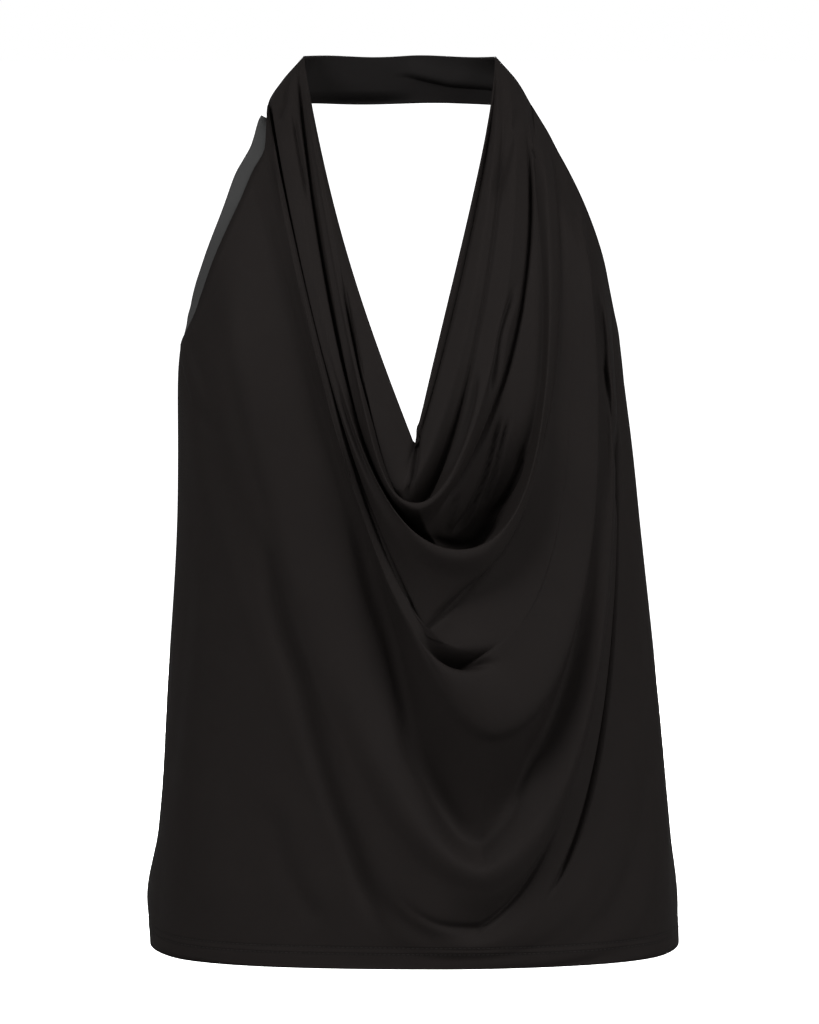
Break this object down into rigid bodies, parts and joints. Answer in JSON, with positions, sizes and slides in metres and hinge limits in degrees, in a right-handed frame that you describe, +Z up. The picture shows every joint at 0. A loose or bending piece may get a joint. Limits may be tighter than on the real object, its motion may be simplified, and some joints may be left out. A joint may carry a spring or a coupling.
{
  "type": "halter neck top",
  "caption": "Sleeveless halter neck top in draped jersey, with a deep V cowl front falling in nested swags and a low open back.",
  "frame": {"origin": "on the neck band at the nape, midway up the band, where the wearer's neck holds the top", "axes": "+Z up along the body, +Y to the wearer's back, +X to the right as the front is looked at, so the front faces -Y"},
  "size_m": [0.376, 0.2666, 0.6222],
  "materials": {
    "jersey": "smooth matt knit, near black",
    "band_jersey": "doubled smooth matt knit, near black",
    "facing_jersey": "wrong side of the knit, dark grey"
  },
  "bodies": {
    "root": {"front_panel": "jersey", "back_panel": "jersey", "neck_band": "band_jersey", "armhole_facing_left": "facing_jersey", "armhole_facing_right": "facing_jersey"}
  },
  "joints": []
}
